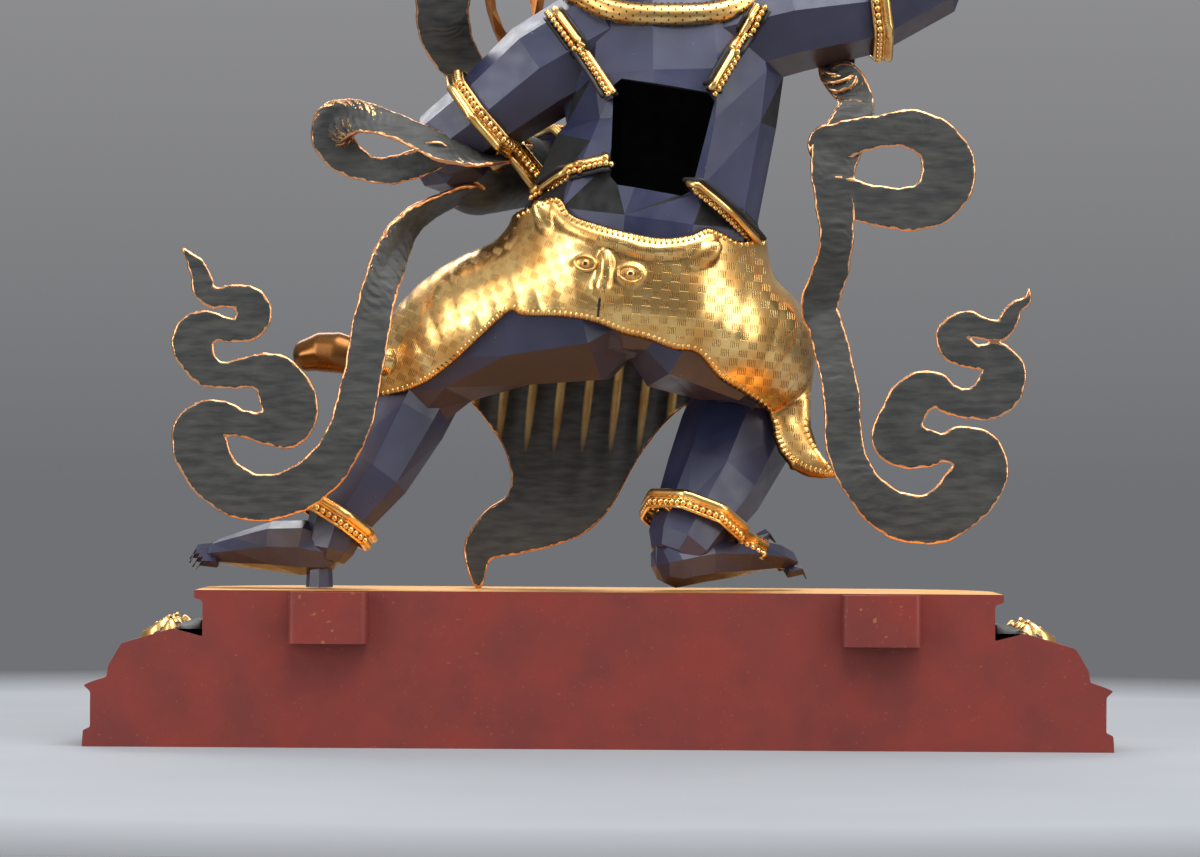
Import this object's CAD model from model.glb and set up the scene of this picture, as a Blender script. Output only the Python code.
# Looks of a guardian figure on its pedestal. Sizes are in millimetres, and meshes are made in metres
import itertools
import math

import bpy
import numpy as np
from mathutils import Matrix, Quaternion, Vector
from mathutils.bvhtree import BVHTree


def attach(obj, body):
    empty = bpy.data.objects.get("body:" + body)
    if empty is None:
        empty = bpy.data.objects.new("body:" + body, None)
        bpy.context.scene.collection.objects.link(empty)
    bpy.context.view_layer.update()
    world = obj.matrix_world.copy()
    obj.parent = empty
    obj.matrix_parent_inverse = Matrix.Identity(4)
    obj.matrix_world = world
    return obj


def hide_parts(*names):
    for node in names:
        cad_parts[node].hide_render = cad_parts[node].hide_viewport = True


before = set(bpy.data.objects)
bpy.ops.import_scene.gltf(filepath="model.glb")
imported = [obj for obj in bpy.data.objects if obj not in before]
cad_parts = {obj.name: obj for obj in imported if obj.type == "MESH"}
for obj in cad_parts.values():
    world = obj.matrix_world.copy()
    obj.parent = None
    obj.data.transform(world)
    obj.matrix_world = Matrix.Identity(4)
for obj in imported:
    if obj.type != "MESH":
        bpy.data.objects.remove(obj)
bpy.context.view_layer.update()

MM = 0.001
FAR = 60.0

# Pedestal, as in the solids: the neck's outline, the back face, the profile as [out, height] and the sockets
NECK_HALF = 153.9
NECK_FRONT = -32.4
BACK = 68.1
CORNER = 45.0
DECK = 61.0
GAP = 0.3
PROFILE = [
    [46.5, 0], [46.1, 6.5], [43.4, 7.4], [43.4, 21.4], [46.1, 23.8], [43, 25.2], [37.1, 27],
    [36.4, 31.6], [31.4, 40.1], [11.8, 46], [0, 43], [0, 56.8], [3.5, 58], [3.2, DECK],
]
PLATE_THICK = 1.5
SOCKETS = [105.0, -109.5]
SOCKET = {"half": 15.2, "proud": 9.0, "bottom": 40.6, "wall": 2.0, "floor": 2.4, "corner": 2.5}
PETALS = 13
PETAL = {"in": 1.5, "out": 31.0, "half": 18.5}

# Limbs as [x, y, z, half width seen from behind, half depth]
TORSO = [
    [-13, 18, 166, 36, 30], [-14, 18, 184, 47, 37], [-15.5, 17.5, 203, 49, 38], [-18, 17, 216, 47, 37],
    [-26, 15, 237, 41.5, 34], [-27, 14, 252, 44, 33], [-26.5, 13, 270, 46, 31], [-26, 12, 286, 42, 27],
    [-24, 12, 297, 31, 21],
]
LEFT_THIGH = [
    [4, 20, 176, 34, 33], [28, 16, 171, 30, 30], [51, 10, 163.5, 26.5, 27], [68, 2, 151, 22.5, 23],
    [75, -2, 142, 20.5, 21],
]
RIGHT_THIGH = [
    [-30, 20, 171, 31, 32], [-48, 14, 164, 29, 30], [-58, 0, 158, 25.5, 27], [-61, -14, 149, 23, 24],
    [-61, -20, 142, 22, 22],
]

# Lumps as [x, y, z, half sizes]
BELLY = [-17, -6, 214, 37, 34, 30]
SEAT = [-2, 18, 163, 27, 26, 12.5]

# Scarf as [x, y, z, half width, turn about its run in degrees]
RIGHT_RUN = [
    [-96, -3, 292, 8, 20], [-94, 4, 274, 8, 20], [-94.5, 17, 267, 7.5, 0], [-100.4, 20, 259, 7.2, 0],
    [-100, 26, 249, 8, 0], [-92.5, 30, 234, 9.7, 0], [-91.8, 32, 220, 7.9, 0], [-93.3, 32, 202, 7, 0],
    [-91, 28, 188, 7.1, 0], [-86.8, 24, 174, 7.6, 0], [-90, 26, 164, 7, 0], [-95.3, 32, 140, 7.4, 0],
    [-97, 34, 118, 7.4, 0], [-104.1, 36, 102.8, 7.7, 0], [-117, 36, 91.8, 9.1, 0], [-134, 36, 91, 10.4, 0],
    [-148, 36, 104, 11.4, 0], [-150, 36, 114, 10.6, 0], [-143, 36, 118.8, 8, 0], [-135.4, 36, 118.3, 5.8, 0],
    [-126, 36, 118.3, 8.2, 0], [-118.3, 36, 121.5, 10.6, 0], [-118.5, 36, 128, 9.2, 0], [-123, 36, 137.5, 8.6, 0],
    [-131, 36, 141.5, 7.2, 0], [-138, 36, 137.5, 5.8, 0], [-146, 36, 135.8, 6, 0], [-155, 36, 138.5, 8.6, 0],
    [-159.5, 36, 147, 9, 0], [-156, 36, 153.5, 6.6, 0], [-147.6, 36, 154.4, 4.6, 0], [-140.4, 36, 158, 6.5, 0],
]
RIGHT_TIP = [
    [-147.6, 36, 154.4, 4.6, 0], [-140.4, 36, 158, 6.5, 0], [-139.2, 36, 163.6, 6.4, 0], [-144.6, 36, 167.2, 5.2, 0],
    [-151.9, 36, 165.2, 4.4, 0], [-158.4, 36, 164.8, 4.4, 0], [-161.6, 36, 169.5, 3.8, 0], [-164, 36, 174, 2.8, 0],
    [-168.4, 36, 176.6, 1.8, 0], [-169.1, 36, 180.8, 0.6, 0],
]
RIGHT_LOOP = [
    [-90, 30, 238, 8.4, 0], [-100, 31, 241.5, 7, 0], [-111, 31, 243.6, 6.6, 0], [-122, 32, 244.6, 7.6, 0],
    [-133, 32, 239, 9.2, 0], [-137.6, 32, 228, 10.6, 0], [-133, 32, 217, 10, 0], [-122, 32, 212.8, 8.6, 0],
    [-107, 32, 214.4, 8.1, 0], [-93, 32, 218, 7.8, 0],
]
LEFT_RUN = [
    [40, -14, 220, 8, 75], [47, -4, 219.5, 8, 75], [55, 3, 219, 8, 72], [62, 7, 216, 8, 68], [69, 11, 212, 8, 64],
    [76, 16, 206.5, 8, 54], [82, 22, 197, 7.8, 34], [87, 30, 182, 7.4, 8], [90.2, 34, 168, 7.6, 0],
    [92.7, 37, 152, 7.8, 0], [95.8, 39, 136, 8, 0], [99, 40, 124, 8.2, 0], [107, 40, 110, 8.5, 0],
    [120.3, 40, 99.7, 9, 0], [137, 40, 97, 9.4, 0], [150.3, 40, 104, 10.2, 0], [157, 40, 115, 10.8, 0],
    [158, 40, 123.5, 10, 0], [151, 40, 128, 7.4, 0], [141, 40, 126, 5.6, 0], [132, 40, 124.6, 6.4, 0],
    [123, 40, 126.5, 10, 0], [122.8, 40, 135, 11, 0], [127.5, 40, 144, 9.4, 0],
]
LEFT_TIP = [
    [122.8, 40, 135, 11, 0], [127.5, 40, 144, 9.4, 0], [136, 40, 146.8, 6.8, 0], [146, 40, 145.2, 5.2, 0],
    [154.9, 40, 146.6, 6.2, 0], [160, 40, 154, 8, 0], [160.4, 40, 161, 8, 0], [154, 40, 164, 6.4, 0],
    [146, 40, 162.8, 4.8, 0], [140.2, 40, 163.8, 5.6, 0], [136.6, 40, 169, 7.2, 0], [139.5, 40, 174.8, 6.2, 0],
    [146, 40, 176.4, 4.4, 0], [152, 40, 175.6, 4, 0], [156.4, 40, 178.4, 4.6, 0], [157.6, 40, 184, 4.2, 0],
    [160.4, 40, 189.4, 2.8, 0], [164.9, 40, 194.9, 0.6, 0],
]
LEFT_LOOP = [
    [33, -8, 235, 7, -40], [40, 12, 234, 7, -55], [50, 26, 232.6, 7, -58], [62, 28, 235.6, 7.5, -42],
    [73, 26, 240.8, 7, -38], [85.6, 23, 246, 6.5, -36], [97, 20, 248.6, 7.5, -25], [106, 15, 246.5, 9, -10],
    [107.3, 13, 240, 8.5, 0], [101.9, 12, 233, 7, 5], [93, 14, 228.4, 5.5, 5], [84, 18, 227.6, 5.5, 0],
    [74, 23, 230, 6, -15], [66, 26, 233.6, 6.5, -35],
]
ARCH = [
    [48, -4, 262, 8, 0], [56.5, -1, 272, 8.4, 0], [62.5, 4, 282, 10.2, 0], [64, 12, 296, 10.9, 0],
    [58.9, 20, 319, 11.1, 0], [45, 26, 344.5, 11.5, 0], [23.3, 32, 365.7, 11.5, 0], [-2.4, 38, 377.8, 11.4, 0],
    [-29.9, 40, 379.3, 11.4, 0], [-55.7, 37, 369.5, 11.4, 0], [-75.8, 30, 350.7, 11.1, 0], [-89, 20, 329, 10.7, 0],
    [-93, 4, 312, 9.4, 0], [-94, -6, 300, 8, 20],
]
CUFF = [[50, -9, 228.5, 17.2, 17.2], [33, -28, 230.5, 15, 15]]
SHEET = 1.4

# Apron as [x, z], clockwise from its left corner, and the depth it hangs at
APRON_EDGE = [
    [54, 140], [46, 128], [39, 117], [36, 106], [38, 98], [45, 93], [51, 86], [54.5, 79], [54, 71], [50.3, 61.6],
    [47, 61.6], [45.5, 67], [43, 72.5], [33, 74.5], [20, 77.5], [8, 82], [1, 87], [-5, 94], [-9, 101], [-16, 114],
    [-24, 125], [-33, 134], [-40, 138], [-41, 156], [-20, 170], [0, 172], [30, 170], [50, 158],
]
APRON_FALL = {"top": 165, "bottom": 61, "near": -21, "far": -12, "sway": 6}

# Tiger skin's outline as [x, z], from the left waist round by the right side
SKIN_THICK = 2.2
SKIN_EDGE = [
    [43, 207], [33, 211], [18, 216], [12, 209], [2, 205], [-9, 202], [-23, 199.5], [-35, 201], [-42, 204], [-48, 202],
    [-55, 199], [-63, 201], [-67, 198], [-70, 186], [-81, 175], [-88, 160], [-88, 138], [-84, 128], [-85, 122],
    [-90, 115], [-94, 107], [-84, 108.5], [-75, 114], [-70, 122], [-68, 131], [-58, 138.5], [-47, 145], [-38, 154.5],
    [-29, 156], [-18, 160], [-9, 162], [3, 166.5], [16, 168.5], [31, 169], [36, 170.5], [47, 161], [59, 150],
    [73, 141], [90, 137], [98, 141], [98, 165], [86, 180], [70, 190], [57, 198],
]
TAIL = [
    [-73, 0, 148, 12, 5], [-76, 5, 132, 8.5, 3.5], [-77, 8, 124, 8, 3.2], [-81, 11, 115, 7.5, 3],
    [-87, 13, 110.5, 5, 2.6], [-93, 14, 108, 2, 1.6],
]
PAW = [[80, 18, 152, 5, 4.5], [90, 21, 152, 6, 5], [98, 24, 153, 7.4, 6], [108, 22, 155, 8.3, 6.6], [117, 20, 153.5, 6.5, 5.4]]


# Curves and fields

def spline(stations, count):
    """Points on the smooth curve through the stations."""
    points = np.array(stations, float)
    padded = np.vstack([2 * points[0] - points[1], points, 2 * points[-1] - points[-2]])
    place = np.linspace(0, len(points) - 1, count)
    index = np.minimum(place.astype(int), len(points) - 2)
    f = (place - index)[:, None]
    a, b, c, d = padded[index], padded[index + 1], padded[index + 2], padded[index + 3]
    return 0.5 * (2 * b + (c - a) * f + (2 * a - 5 * b + 4 * c - d) * f**2 + (3 * b - a - 3 * c + d) * f**3)


def unit(vectors):
    return vectors / np.maximum(np.linalg.norm(vectors, axis=-1, keepdims=True), 1e-9)


def section_axes(points):
    """Axes of the sections along a route: across as seen from behind, and in depth."""
    tangent = unit(np.gradient(points, axis=0))
    steep = np.abs(tangent[:, 1:2]) > 0.9
    reference = np.where(steep, [[0.0, 0.0, 1.0]], [[0.0, 1.0, 0.0]])
    across = unit(np.cross(tangent, reference))
    return tangent, across, unit(np.cross(across, tangent))


def resample(points, pitch):
    """The same route with its points an even pitch apart."""
    points = np.asarray(points, float)
    run = np.concatenate([[0], np.cumsum(np.linalg.norm(np.diff(points, axis=0), axis=1))])
    count = max(2, int(round(run[-1] / pitch)) + 1)
    at = np.linspace(0, run[-1], count)
    return np.stack([np.interp(at, run, points[:, axis]) for axis in range(points.shape[1])], axis=1)


def near_segment(points, start, step, reach):
    """Numbers of the points that lie near a segment."""
    low = np.minimum(start, start + step) - reach
    high = np.maximum(start, start + step) + reach
    return np.flatnonzero(np.all((points > low) & (points < high), axis=1))


class Limb:
    """A limb with oval sections along a smooth route."""

    def __init__(self, stations, pitch=7.0):
        length = np.linalg.norm(np.diff(np.array(stations, float)[:, :3], axis=0), axis=1).sum()
        route = spline(stations, max(3, int(length / pitch) + 2))
        self.centre = route[:, :3]
        self.half = np.maximum(route[:, 3:5], 0.3)
        _, self.across, self.deep = section_axes(self.centre)
        self.margin = 14
        reach = self.half.max() + self.margin
        self.low = self.centre.min(0) - reach
        self.high = self.centre.max(0) + reach

    def __call__(self, points):
        result = np.full(len(points), FAR)
        for i in range(len(self.centre) - 1):
            start, step = self.centre[i], self.centre[i + 1] - self.centre[i]
            near = near_segment(points, start, step, self.half[i:i + 2].max() + self.margin)
            if not len(near):
                continue
            p = points[near]
            t = np.clip((p - start) @ step / (step @ step), 0, 1)[:, None]
            q = p - start - t * step
            across = self.across[i] * (1 - t) + self.across[i + 1] * t
            deep = self.deep[i] * (1 - t) + self.deep[i + 1] * t
            half = self.half[i] * (1 - t) + self.half[i + 1] * t
            u = np.einsum("ij,ij->i", q, across)
            v = np.einsum("ij,ij->i", q, deep)
            length = np.linalg.norm(q, axis=1)
            along = np.sqrt(np.maximum(length**2 - u**2 - v**2, 0))
            small = half.min(axis=1)
            ratio = np.sqrt((u / half[:, 0]) ** 2 + (v / half[:, 1]) ** 2 + (along / small) ** 2)
            distance = np.where(ratio > 1e-3, length * (1 - 1 / np.maximum(ratio, 1e-3)), -small)
            result[near] = np.minimum(result[near], distance)
        return result


class Lump:
    """An egg-shaped lump, turned by degrees about +Y."""

    def __init__(self, size, turn=0):
        self.at = np.array(size[:3], float)
        self.half = np.array(size[3:6], float)
        angle = math.radians(turn)
        self.turn = np.array([
            [math.cos(angle), 0, math.sin(angle)], [0, 1, 0], [-math.sin(angle), 0, math.cos(angle)],
        ])

    def __call__(self, points):
        q = (points - self.at) @ self.turn.T
        ratio = np.linalg.norm(q / self.half, axis=1)
        length = np.linalg.norm(q, axis=1)
        return np.where(ratio > 1e-3, length * (1 - 1 / np.maximum(ratio, 1e-3)), -self.half.min())


class Ribbon:
    """A flat sheet of metal along a smooth route, turned about its run where a station says so."""

    def __init__(self, stations, pitch=3.0, thick=SHEET, seed=0):
        length = np.linalg.norm(np.diff(np.array(stations, float)[:, :3], axis=0), axis=1).sum()
        count = int(length / pitch) + 3
        route = spline(stations, count)
        self.centre = route[:, :3]
        waver = 0.22 * np.sin(np.arange(count) * 1.9 + seed) + 0.16 * np.sin(np.arange(count) * 0.77 + 2 * seed)
        self.half = np.maximum(route[:, 3] + waver * (route[:, 3] > 3), 0.4)
        _, across, deep = section_axes(self.centre)
        turn = np.radians(route[:, 4])[:, None]
        self.side = across * np.cos(turn) + deep * np.sin(turn)
        self.face = deep * np.cos(turn) - across * np.sin(turn)
        self.thick = thick / 2
        self.margin = 10
        reach = self.half.max() + self.margin
        self.low = self.centre.min(0) - reach
        self.high = self.centre.max(0) + reach

    def parts(self, points):
        """Distance, how near the edge, and which face, at each point."""
        best = np.full(len(points), FAR)
        edge = np.full(len(points), FAR)
        face = np.zeros(len(points))
        for i in range(len(self.centre) - 1):
            start, step = self.centre[i], self.centre[i + 1] - self.centre[i]
            near = near_segment(points, start, step, self.half[i:i + 2].max() + self.margin)
            if not len(near):
                continue
            p = points[near]
            t = np.clip((p - start) @ step / (step @ step), 0, 1)
            q = p - start - t[:, None] * step
            side = self.side[i] * (1 - t[:, None]) + self.side[i + 1] * t[:, None]
            out = self.face[i] * (1 - t[:, None]) + self.face[i + 1] * t[:, None]
            half = self.half[i] * (1 - t) + self.half[i + 1] * t
            u = np.einsum("ij,ij->i", q, side)
            v = np.einsum("ij,ij->i", q, out)
            along = np.sqrt(np.maximum(np.einsum("ij,ij->i", q, q) - u**2 - v**2, 0))
            curl = self.thick * 0.85
            a = np.maximum(np.hypot(np.abs(u), along) - half + curl, 0)
            b = np.abs(v) - self.thick + curl
            distance = np.hypot(a, np.maximum(b, 0)) + np.minimum(b, 0) * (a <= 0) - curl
            closer = near[distance < best[near]]
            face[closer] = (v / self.thick)[distance < best[near]]
            best[closer] = distance[distance < best[near]]
            within = np.abs(v) < 2 * self.thick
            edge[near[within]] = np.minimum(edge[near[within]], (np.hypot(u, along) - half)[within])
        return best, edge, face

    def __call__(self, points):
        return self.parts(points)[0]


def blend_in(a, b, reach):
    """Smooth union of two fields."""
    h = np.maximum(reach - np.abs(a - b), 0) / reach
    return np.minimum(a, b) - h * h * reach / 4


def blend_out(a, b, reach):
    """Smooth intersection of two fields."""
    return -blend_in(-a, -b, reach)


class Outline:
    """Signed distance to a closed outline in the plane seen from behind, kept on a grid."""

    def __init__(self, corners, pitch=0.6, margin=14, smooth=True):
        corners = np.array(corners, float)
        if smooth:
            looped = np.vstack([corners[-1], corners, corners[0], corners[1]])
            corners = spline(looped, 8 * len(looped))[8:-8]
        self.corners = corners
        self.low = corners.min(0) - margin
        self.pitch = pitch
        count = np.ceil((corners.max(0) + margin - self.low) / pitch).astype(int) + 1
        grid = np.stack(np.meshgrid(*[self.low[i] + pitch * np.arange(count[i]) for i in (0, 1)], indexing="ij"), -1)
        points = grid.reshape(-1, 2)
        distance = np.full(len(points), FAR)
        inside = np.zeros(len(points), bool)
        for start, end in zip(corners, np.roll(corners, -1, axis=0)):
            step = end - start
            if step @ step < 1e-9:
                continue
            t = np.clip((points - start) @ step / (step @ step), 0, 1)[:, None]
            distance = np.minimum(distance, np.linalg.norm(points - start - t * step, axis=1))
            if start[1] != end[1]:
                crosses = (points[:, 1] > start[1]) != (points[:, 1] > end[1])
                at = start[0] + (points[:, 1] - start[1]) * step[0] / step[1]
                inside ^= crosses & (points[:, 0] < at)
        self.grid = np.where(inside, -distance, distance).reshape(count)

    def __call__(self, points):
        place = (points[:, [0, 2]] - self.low) / self.pitch
        last = np.array(self.grid.shape) - 2
        cell = np.clip(np.floor(place).astype(int), 0, last)
        f = place - cell
        beyond = np.linalg.norm(np.maximum(np.maximum(-f, f - 1), 0), axis=1) * self.pitch
        f = np.clip(f, 0, 1)
        i, j = cell[:, 0], cell[:, 1]
        g = self.grid
        low = g[i, j] * (1 - f[:, 0]) + g[i + 1, j] * f[:, 0]
        high = g[i, j + 1] * (1 - f[:, 0]) + g[i + 1, j + 1] * f[:, 0]
        return low * (1 - f[:, 1]) + high * f[:, 1] + beyond


def sample_field(field, low, high, pitch, block=10):
    """Values of a field on a grid, worked out only in the blocks that its surface may cross."""
    low, high = np.array(low, float), np.array(high, float)
    blocks = np.ceil((high - low) / pitch / block).astype(int)
    corners = np.array(list(itertools.product(*[range(n) for n in blocks])))
    centres = low + (corners + 0.5) * block * pitch
    middle = field(centres)
    values = np.full(blocks * block + 1, FAR, np.float32)
    for corner, value in zip(corners, middle):
        a = corner * block
        values[a[0]:a[0] + block + 1, a[1]:a[1] + block + 1, a[2]:a[2] + block + 1] = value
    reach = block * pitch * 0.87 * 1.5 + 2
    active = corners[np.abs(middle) < reach]
    local = np.array(list(itertools.product(range(block + 1), repeat=3)))
    for start in range(0, len(active), 60):
        some = active[start:start + 60]
        index = (some[:, None, :] * block + local[None]).reshape(-1, 3)
        values[index[:, 0], index[:, 1], index[:, 2]] = field(low + index * pitch)
    return values


def surface_nets(values, low, pitch):
    """Quads on the zero level of a sampled field, facing outward."""
    cells = np.array(values.shape) - 1
    corners = np.array(list(itertools.product((0, 1), repeat=3)))
    inside = values < 0
    count = np.zeros(cells, np.int8)
    for c in corners:
        count += inside[c[0]:c[0] + cells[0], c[1]:c[1] + cells[1], c[2]:c[2] + cells[2]]
    active = (count > 0) & (count < 8)
    at = np.argwhere(active)
    held = np.stack([values[tuple((at + c).T)] for c in corners], axis=1).astype(float)
    total = np.zeros((len(at), 3))
    hits = np.zeros(len(at))
    for a, b in itertools.combinations(range(8), 2):
        if np.abs(corners[a] - corners[b]).sum() != 1:
            continue
        fa, fb = held[:, a], held[:, b]
        crosses = (fa < 0) != (fb < 0)
        t = np.where(crosses, fa / np.where(crosses, fa - fb, 1), 0)[:, None]
        total += crosses[:, None] * (corners[a] + t * (corners[b] - corners[a]))
        hits += crosses
    vertices = np.asarray(low) + pitch * (at + total / hits[:, None])
    index = np.full(cells, -1)
    index[active] = np.arange(len(at))
    quads = []
    for axis in range(3):
        step = np.eye(3, dtype=int)
        span = values.shape[axis] - 1
        first = np.take(inside, np.arange(span), axis)
        second = np.take(inside, np.arange(1, span + 1), axis)
        edges = np.argwhere(first != second)
        u, v = (axis + 1) % 3, (axis + 2) % 3
        edges = edges[(edges[:, u] > 0) & (edges[:, v] > 0) & (edges[:, u] < cells[u]) & (edges[:, v] < cells[v])]
        around = [edges - step[u] - step[v], edges - step[v], edges, edges - step[u]]
        quad = np.stack([index[tuple(c.T)] for c in around], axis=1)
        outward = inside[tuple(edges.T)]
        quads.append(np.where(outward[:, None], quad, quad[:, ::-1]))
    quads = np.vstack(quads)
    return vertices, quads[(quads >= 0).all(axis=1)]


def field_mesh(field, low, high, pitch, settle=2):
    """Surface of a field, its vertices moved onto the true zero level."""
    values = sample_field(field, low, high, pitch)
    vertices, quads = surface_nets(values, low, pitch)
    for _ in range(settle):
        slope = np.stack([
            field(vertices + d) - field(vertices - d) for d in 0.3 * np.eye(3)
        ], axis=1) / 0.6
        size = np.maximum((slope**2).sum(1), 0.2)
        move = (field(vertices) / size)[:, None] * slope
        limit = 0.5 * pitch / np.maximum(np.linalg.norm(move, axis=1), 1e-6)
        vertices = vertices - move * np.minimum(limit, 1)[:, None]
    return vertices, quads


def hollowness(vertices, quads):
    """How far each vertex lies below its neighbours, smoothed: positive in recesses and negative on edges."""
    edges = np.vstack([quads[:, [i, (i + 1) % quads.shape[1]]] for i in range(quads.shape[1])])
    edges = np.vstack([edges, edges[:, ::-1]])
    number = np.maximum(np.bincount(edges[:, 0], minlength=len(vertices)), 1)

    def around(values):
        return np.stack([
            np.bincount(edges[:, 0], values[edges[:, 1], axis], len(vertices)) for axis in range(values.shape[1])
        ], axis=1) / number[:, None]

    diagonal = np.cross(vertices[quads[:, 2]] - vertices[quads[:, 0]], vertices[quads[:, 3]] - vertices[quads[:, 1]])
    normal = np.zeros_like(vertices)
    for corner in range(4):
        for axis in range(3):
            normal[:, axis] += np.bincount(quads[:, corner], diagonal[:, axis], len(vertices))
    normal = unit(normal)
    smooth = vertices
    for _ in range(3):
        smooth = around(smooth)
    depth = ((smooth - vertices) * normal).sum(1)
    for _ in range(2):
        depth = around(depth[:, None])[:, 0]
    return depth


# Meshes

class Pile:
    """Many small meshes gathered into one, with a material number for each face and numbers for each vertex."""

    def __init__(self):
        self.vertices, self.faces, self.slots, self.count = [], [], [], 0
        self.extra = {}

    def add(self, vertices, faces, slot=0, **extra):
        vertices = np.asarray(vertices, float)
        self.vertices.append(vertices)
        faces = [[i + self.count for i in face] for face in (faces.tolist() if hasattr(faces, "tolist") else faces)]
        self.faces += faces
        self.slots += [slot] * len(faces)
        for name, value in extra.items():
            filled = self.extra.setdefault(name, [])
            filled.append((self.count, np.broadcast_to(np.asarray(value, float), len(vertices))))
        self.count += len(vertices)

    def piece(self, name, materials, slot, nodes=(), smooth=True):
        mesh = bpy.data.meshes.new(name)
        mesh.from_pydata((np.vstack(self.vertices) * MM).tolist(), [], self.faces)
        mesh.polygons.foreach_set("use_smooth", np.full(len(mesh.polygons), smooth))
        for material in materials:
            mesh.materials.append(material)
        mesh.polygons.foreach_set("material_index", np.array(self.slots, np.int32))
        for key, chunks in self.extra.items():
            values = np.zeros(self.count, np.float32)
            for start, part in chunks:
                values[start:start + len(part)] = part
            mesh.attributes.new(key, "FLOAT", "POINT").data.foreach_set("value", values)
        mesh.update()
        piece = bpy.data.objects.new(name, mesh)
        bpy.context.scene.collection.objects.link(piece)
        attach(piece, "root")
        if nodes:
            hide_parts(*nodes)
        return piece


def tube(points, radius, sides=8, closed=False, taper=None):
    """A round bar along points; taper gives the radius at each point."""
    points = np.asarray(points, float)
    tangent = unit(np.roll(points, -1, 0) - np.roll(points, 1, 0)) if closed else unit(np.gradient(points, axis=0))
    reference = np.array([0.31, 0.12, 0.94])
    side = unit(np.cross(tangent, np.where(np.abs(tangent @ reference)[:, None] > 0.92, [[1.0, 0, 0]], [reference])))
    up = np.cross(side, tangent)
    size = np.full(len(points), float(radius)) if taper is None else np.asarray(taper, float)
    angle = 2 * np.pi * np.arange(sides) / sides
    ring = (points[:, None] + size[:, None, None] * (
        np.cos(angle)[None, :, None] * side[:, None] + np.sin(angle)[None, :, None] * up[:, None]))
    vertices = ring.reshape(-1, 3)
    faces = []
    rows = len(points) if closed else len(points) - 1
    for i in range(rows):
        j = (i + 1) % len(points)
        for k in range(sides):
            m = (k + 1) % sides
            faces.append([i * sides + k, j * sides + k, j * sides + m, i * sides + m])
    if not closed:
        faces.append(list(range(sides)))
        faces.append([(len(points) - 1) * sides + k for k in reversed(range(sides))])
    return vertices, faces


def ball(at, size, rows=6, sides=8):
    """A bead; size may be one radius or three."""
    polar = np.pi * np.arange(1, rows) / rows
    angle = 2 * np.pi * np.arange(sides) / sides
    ring = np.stack([
        np.sin(polar)[:, None] * np.cos(angle), np.sin(polar)[:, None] * np.sin(angle),
        np.repeat(np.cos(polar)[:, None], sides, 1)], axis=-1).reshape(-1, 3)
    vertices = np.vstack([[[0, 0, 1]], ring, [[0, 0, -1]]]) * size + at
    faces = []
    for k in range(sides):
        m = (k + 1) % sides
        faces.append([0, 1 + k, 1 + m])
        for row in range(rows - 2):
            a = 1 + row * sides
            faces.append([a + k, a + sides + k, a + sides + m, a + m])
        last = 1 + (rows - 2) * sides
        faces.append([last + k, last + sides, last + m])
    return vertices, faces


class Skin:
    """A surface that ornaments are laid on, met by rays."""

    def __init__(self, vertices, faces):
        self.tree = BVHTree.FromPolygons(vertices.tolist(), [list(face) for face in faces])

    def ray(self, start, direction):
        hit, normal, _, _ = self.tree.ray_cast(Vector(start), Vector(direction))
        return (np.array(hit), np.array(normal)) if hit else None

    def from_behind(self, points, away=120, side=1):
        """Places and normals where [x, z] points meet the surface seen from behind, or from the front."""
        found = [self.ray((x, side * away, z), (0, -side, 0)) for x, z in points]
        found = [f for f in found if f]
        return np.array([f[0] for f in found]), np.array([f[1] for f in found])

    def round_limb(self, centre, axis, radius, count=72, sweep=(0, 360)):
        """Places and normals on a ring round a limb, met from outside."""
        axis = unit(np.array(axis, float))
        side = unit(np.cross(axis, [0.2, 1, 0.1]))
        up = np.cross(axis, side)
        places, normals = [], []
        for angle in np.radians(np.linspace(sweep[0], sweep[1], count, endpoint=sweep[1] - sweep[0] < 360)):
            out = side * math.cos(angle) + up * math.sin(angle)
            found = self.ray(np.array(centre) + out * radius * 1.9, -out)
            close = found and np.linalg.norm(found[0] - centre) > radius * 0.5
            places.append(found[0] if close else np.array(centre) + out * radius)
            normals.append(out)
        return np.array(places), np.array(normals)


# Looks

def srgb(*values):
    """Linear colour of a colour given as 0 to 255."""
    return [((v / 255 + 0.055) / 1.055) ** 2.4 for v in values]


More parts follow.
